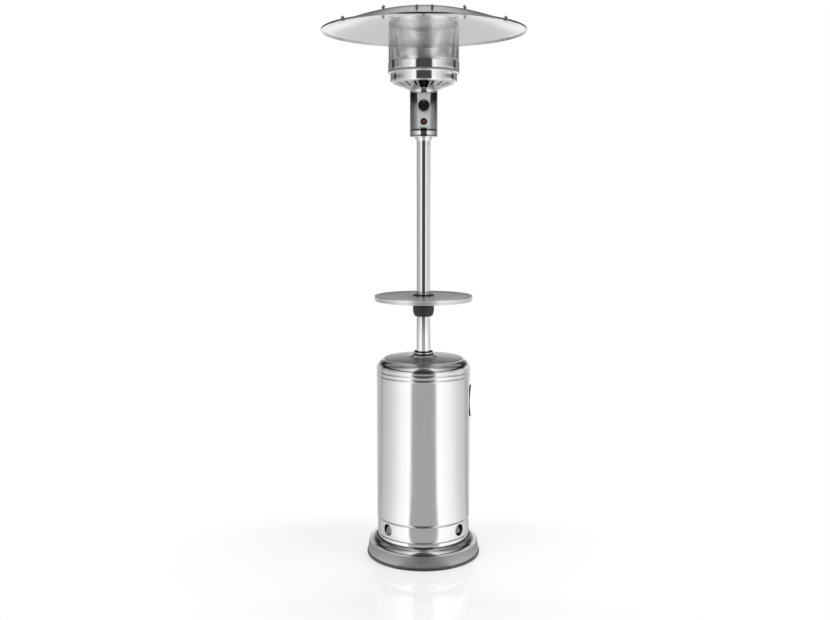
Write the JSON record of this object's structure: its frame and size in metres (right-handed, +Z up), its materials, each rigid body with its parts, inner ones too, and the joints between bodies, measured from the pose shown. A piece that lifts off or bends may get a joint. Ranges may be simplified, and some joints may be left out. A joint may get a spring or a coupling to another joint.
{
  "type": "patio heater",
  "caption": "Free-standing outdoor gas heater: burner and glowing screen under a wide reflector, on a post with a sliding table, above a gas bottle housing with a door.",
  "frame": {"origin": "middle of the foot, on the floor", "axes": "+Z up along the post, the controls face -Y, the door is at +X and the back"},
  "size_m": [0.813, 0.8129, 2.2274],
  "materials": {
    "brushed_steel": "satin, brushed round the housing",
    "polished_steel": "mirror polished",
    "foot_steel": "satin",
    "inner_steel": "zinc grey",
    "screen_steel": "bright perforated sheet",
    "black_plastic": "matt",
    "black_rubber": "matt",
    "red_plastic": "gloss",
    "brass": "machined",
    "aluminium_pipe": "drawn",
    "white_ceramic": "glazed ceramic",
    "panel_steel": "satin plate"
  },
  "bodies": {
    "stand": {"base_pan": "foot_steel", "base_edge_ring": "black_rubber", "vent_ring": "brushed_steel", "support_leg_1": "inner_steel", "support_leg_2": "inner_steel", "support_leg_3": "inner_steel", "leg_bolts": "inner_steel", "post_socket": "inner_steel", "housing_shell": "brushed_steel", "housing_lid": "brushed_steel", "post_grommet": "black_rubber", "frame_hinge_leaves": "brushed_steel", "hinge_pins": "polished_steel", "door_catch": "black_plastic", "main_post": "polished_steel", "post_screws": "polished_steel", "head_spigot": "polished_steel", "valve_box_base": "polished_steel", "valve_box_shell": "brushed_steel", "control_panel": "panel_steel", "bowl_collar": "polished_steel", "box_screws": "polished_steel", "gas_valve": "brass", "igniter_bezel": "black_plastic", "piezo_igniter": "black_plastic", "tilt_switch": "black_plastic", "supply_pipe": "aluminium_pipe", "gas_inlet_fitting": "brass", "pilot_pipe": "aluminium_pipe", "thermocouple": "aluminium_pipe", "spark_electrode": "white_ceramic", "burner_bowl": "polished_steel", "burner_band": "polished_steel", "band_screws": "polished_steel", "burner_bridge": "inner_steel", "gas_jet": "brass", "mixing_tube": "inner_steel", "burner_head": "inner_steel", "pilot_bracket": "inner_steel", "emitter_screen": "screen_steel", "screen_top_plate": "screen_steel", "reflector_arms": "inner_steel", "reflector_studs": "polished_steel", "centre_disc": "polished_steel", "seam_bolts": "polished_steel", "wing_nuts": "polished_steel", "reflector_panel_1": "polished_steel", "reflector_panel_2": "polished_steel", "reflector_panel_3": "polished_steel"},
    "door": {"door_panel": "brushed_steel", "door_handle": "black_plastic", "door_hinge_leaves": "brushed_steel"},
    "table": {"table_top": "brushed_steel", "table_trim_ring": "black_plastic", "clamp_collet": "black_plastic"},
    "clamp_nut": {"clamp_nut": "black_plastic"},
    "plunger": {"valve_plunger": "brass"},
    "knob": {"control_knob": "black_plastic", "valve_stem": "inner_steel"},
    "igniter_button": {"igniter_button": "red_plastic"}
  },
  "joints": [
    {"name": "door_hinge", "type": "hinge", "parent": "stand", "child": "door", "pos_m": [-0.05969, 0.18816, 0.48], "axis": [0, 0, 1], "range_deg": [0, 110]},
    {"name": "table_slide", "type": "slide", "parent": "stand", "child": "table", "axis": [0, 0, 1], "range_m": [-0.12, 0.56]},
    {"name": "clamp_turn", "type": "hinge", "parent": "table", "child": "clamp_nut", "pos_m": [0, 0, 1.02], "axis": [0, 0, 1], "range_deg": [0, 180]},
    {"name": "knob_push", "type": "slide", "parent": "stand", "child": "plunger", "axis": [0, 1, 0], "range_m": [0, 0.004], "stiffness_N_per_m": 600},
    {"name": "knob_turn", "type": "hinge", "parent": "plunger", "child": "knob", "pos_m": [0, -0.06, 1.841], "axis": [0, -1, 0], "range_deg": [0, 180]},
    {"name": "igniter_push", "type": "slide", "parent": "stand", "child": "igniter_button", "axis": [0, 1, 0], "range_m": [0, 0.005], "stiffness_N_per_m": 500}
  ]
}
